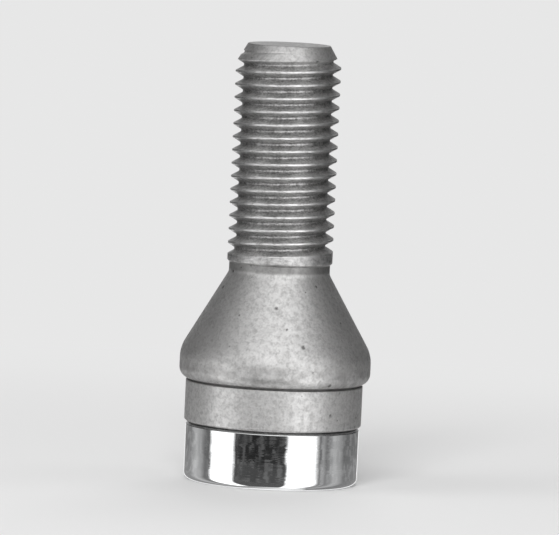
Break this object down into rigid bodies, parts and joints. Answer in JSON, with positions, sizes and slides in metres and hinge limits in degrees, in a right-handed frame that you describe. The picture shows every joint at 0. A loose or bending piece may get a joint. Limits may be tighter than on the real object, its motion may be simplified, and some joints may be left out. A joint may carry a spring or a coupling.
{
  "type": "locking wheel bolt",
  "caption": "Cone-seat wheel bolt with a fine right-hand thread, a round chromed head and a wavy key groove in the head's end that only its matching key fits.",
  "frame": {"origin": "centre of the head's end face, which is the lowest point of the bolt as it stands on its head", "axes": "+Z along the bolt's axis, from the head to the tip of the thread; +X and +Y are across it"},
  "size_m": [0.0218, 0.0218, 0.05],
  "materials": {
    "coated_steel": "matt zinc-flake coating over a forged and rolled steel body",
    "chrome": "polished chrome plate on a pressed cap"
  },
  "bodies": {
    "root": {"bolt_body": "coated_steel", "chrome_cap": "chrome"}
  },
  "joints": []
}
